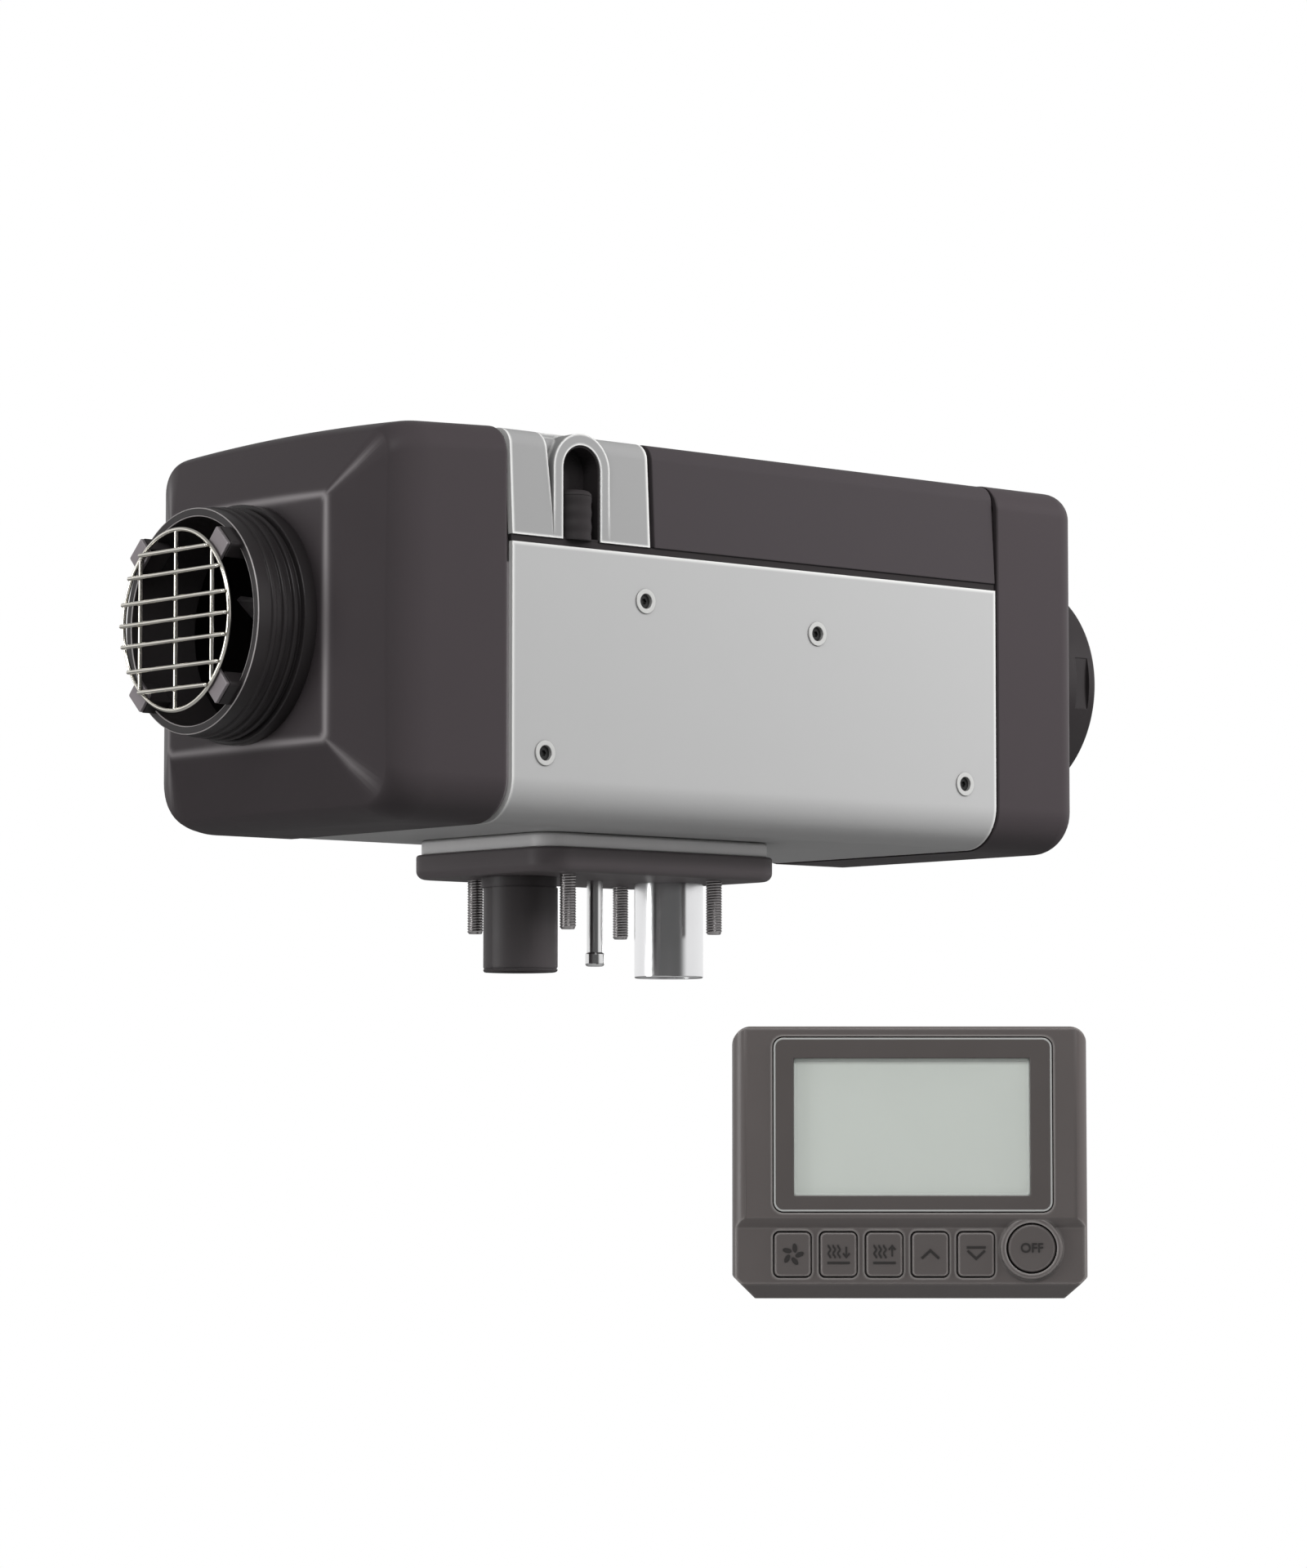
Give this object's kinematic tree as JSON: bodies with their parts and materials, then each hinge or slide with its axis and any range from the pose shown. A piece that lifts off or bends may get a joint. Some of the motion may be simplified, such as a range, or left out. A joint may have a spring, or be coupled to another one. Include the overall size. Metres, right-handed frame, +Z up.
{
  "type": "diesel air heater",
  "caption": "Diesel air heater: box-shaped housing with duct neck and wire grille, outlet collar, flange with stubs and studs below, and its display control panel.",
  "frame": {"origin": "centre of the four-stud pattern on the underside of the flange seal", "axes": "+X along the heating air from intake to outlet, +Z up, +Y away from the side the control panel stands on"},
  "size_m": [0.4167, 0.3046, 0.3055],
  "materials": {
    "black_shell": "fine-textured black glass-filled nylon",
    "grey_jacket": "satin light-grey powder coat",
    "grey_saddle": "satin grey moulded plastic",
    "black_rubber": "matt black rubber",
    "frame_plastic": "black moulded plastic",
    "grille_wire": "bright nickel-plated wire",
    "cast_aluminium": "bead-blasted casting",
    "stud_steel": "black-oxide steel",
    "stub_plastic": "black moulded plastic",
    "polished_steel": "polished stainless tube",
    "pipe_steel": "bright drawn tube",
    "eyelet_metal": "plated",
    "screw_steel": "black-oxide steel",
    "liner_sheet": "rolled sheet",
    "motor_steel": "zinc-plated",
    "magnet": "ferrite",
    "armature": "laminated core",
    "bearing_steel": "ground steel",
    "fan_plastic": "black glass-filled nylon",
    "gasket_paper": "graphite gasket",
    "chamber_steel": "heat-tinted stainless",
    "ceramic_plug": "ceramic body in a steel sleeve",
    "ecu_case": "black plastic case",
    "circuit_board": "green solder mask",
    "panel_case": "satin dark brown-grey plastic",
    "panel_bezel": "satin dark brown-grey plastic",
    "panel_lens": "clear window",
    "lcd": "pale grey-green display, off",
    "led": "clear lens",
    "key_rubber": "satin dark brown-grey keys"
  },
  "bodies": {
    "root": {"lower_jacket": "grey_jacket", "upper_saddle": "grey_saddle", "top_cover": "black_shell", "edge_seals": "black_rubber", "intake_hood": "black_shell", "intake_neck": "black_shell", "outlet_hood": "black_shell", "outlet_collar": "black_shell", "intake_frame": "frame_plastic", "outlet_frame": "frame_plastic", "grille_ring": "grille_wire", "grille_bars": "grille_wire", "grille_clips": "grille_wire", "cable_grommet": "black_rubber", "arch_blank": "black_rubber", "eyelets": "eyelet_metal", "side_screws": "screw_steel", "side_liners": "liner_sheet", "foot_casting": "cast_aluminium", "flange_seal": "black_rubber", "mounting_studs": "stud_steel", "combustion_air_stub": "stub_plastic", "exhaust_stub": "polished_steel", "fuel_pipe": "pipe_steel", "motor_can": "motor_steel", "motor_magnets": "magnet", "front_bearing": "bearing_steel", "rear_bearing": "bearing_steel", "blower_housing": "cast_aluminium", "housing_gasket": "gasket_paper", "burner_head": "cast_aluminium", "glow_plug": "ceramic_plug", "combustion_chamber": "chamber_steel", "burner_gauze": "chamber_steel", "heat_exchanger": "cast_aluminium", "overheat_sensor": "ceramic_plug", "control_unit_case": "ecu_case", "control_unit_board": "circuit_board", "panel_front_case": "panel_case", "panel_back_case": "panel_case", "panel_screws": "screw_steel", "display_bezel": "panel_bezel", "display_lens": "panel_lens", "lcd_panel": "lcd", "panel_led": "led", "panel_board": "circuit_board", "key_switches": "motor_steel", "cable_socket": "ecu_case"},
    "rotor": {"motor_shaft": "bearing_steel", "motor_armature": "armature", "heating_fan": "fan_plastic", "combustion_fan": "fan_plastic"},
    "fan_key_body": {"fan_key": "key_rubber"},
    "heat_down_key_body": {"heat_down_key": "key_rubber"},
    "heat_up_key_body": {"heat_up_key": "key_rubber"},
    "up_key_body": {"up_key": "key_rubber"},
    "down_key_body": {"down_key": "key_rubber"},
    "off_key_body": {"off_key": "key_rubber"}
  },
  "joints": [
    {"name": "rotor_spin", "type": "hinge", "parent": "root", "child": "rotor", "pos_m": [-0.104, 0, 0.0845], "axis": [1, 0, 0], "continuous": true},
    {"name": "fan_key_press", "type": "slide", "parent": "root", "child": "fan_key_body", "axis": [0.6521, 0.7581, 0], "range_m": [0, 0.0008], "stiffness_N_per_m": 600, "springref_m": -0.0005},
    {"name": "heat_down_key_press", "type": "slide", "parent": "root", "child": "heat_down_key_body", "axis": [0.6521, 0.7581, 0], "range_m": [0, 0.0008], "stiffness_N_per_m": 600, "springref_m": -0.0005},
    {"name": "heat_up_key_press", "type": "slide", "parent": "root", "child": "heat_up_key_body", "axis": [0.6521, 0.7581, 0], "range_m": [0, 0.0008], "stiffness_N_per_m": 600, "springref_m": -0.0005},
    {"name": "up_key_press", "type": "slide", "parent": "root", "child": "up_key_body", "axis": [0.6521, 0.7581, 0], "range_m": [0, 0.0008], "stiffness_N_per_m": 600, "springref_m": -0.0005},
    {"name": "down_key_press", "type": "slide", "parent": "root", "child": "down_key_body", "axis": [0.6521, 0.7581, 0], "range_m": [0, 0.0008], "stiffness_N_per_m": 600, "springref_m": -0.0005},
    {"name": "off_key_press", "type": "slide", "parent": "root", "child": "off_key_body", "axis": [0.6521, 0.7581, 0], "range_m": [0, 0.0008], "stiffness_N_per_m": 600, "springref_m": -0.0005}
  ]
}
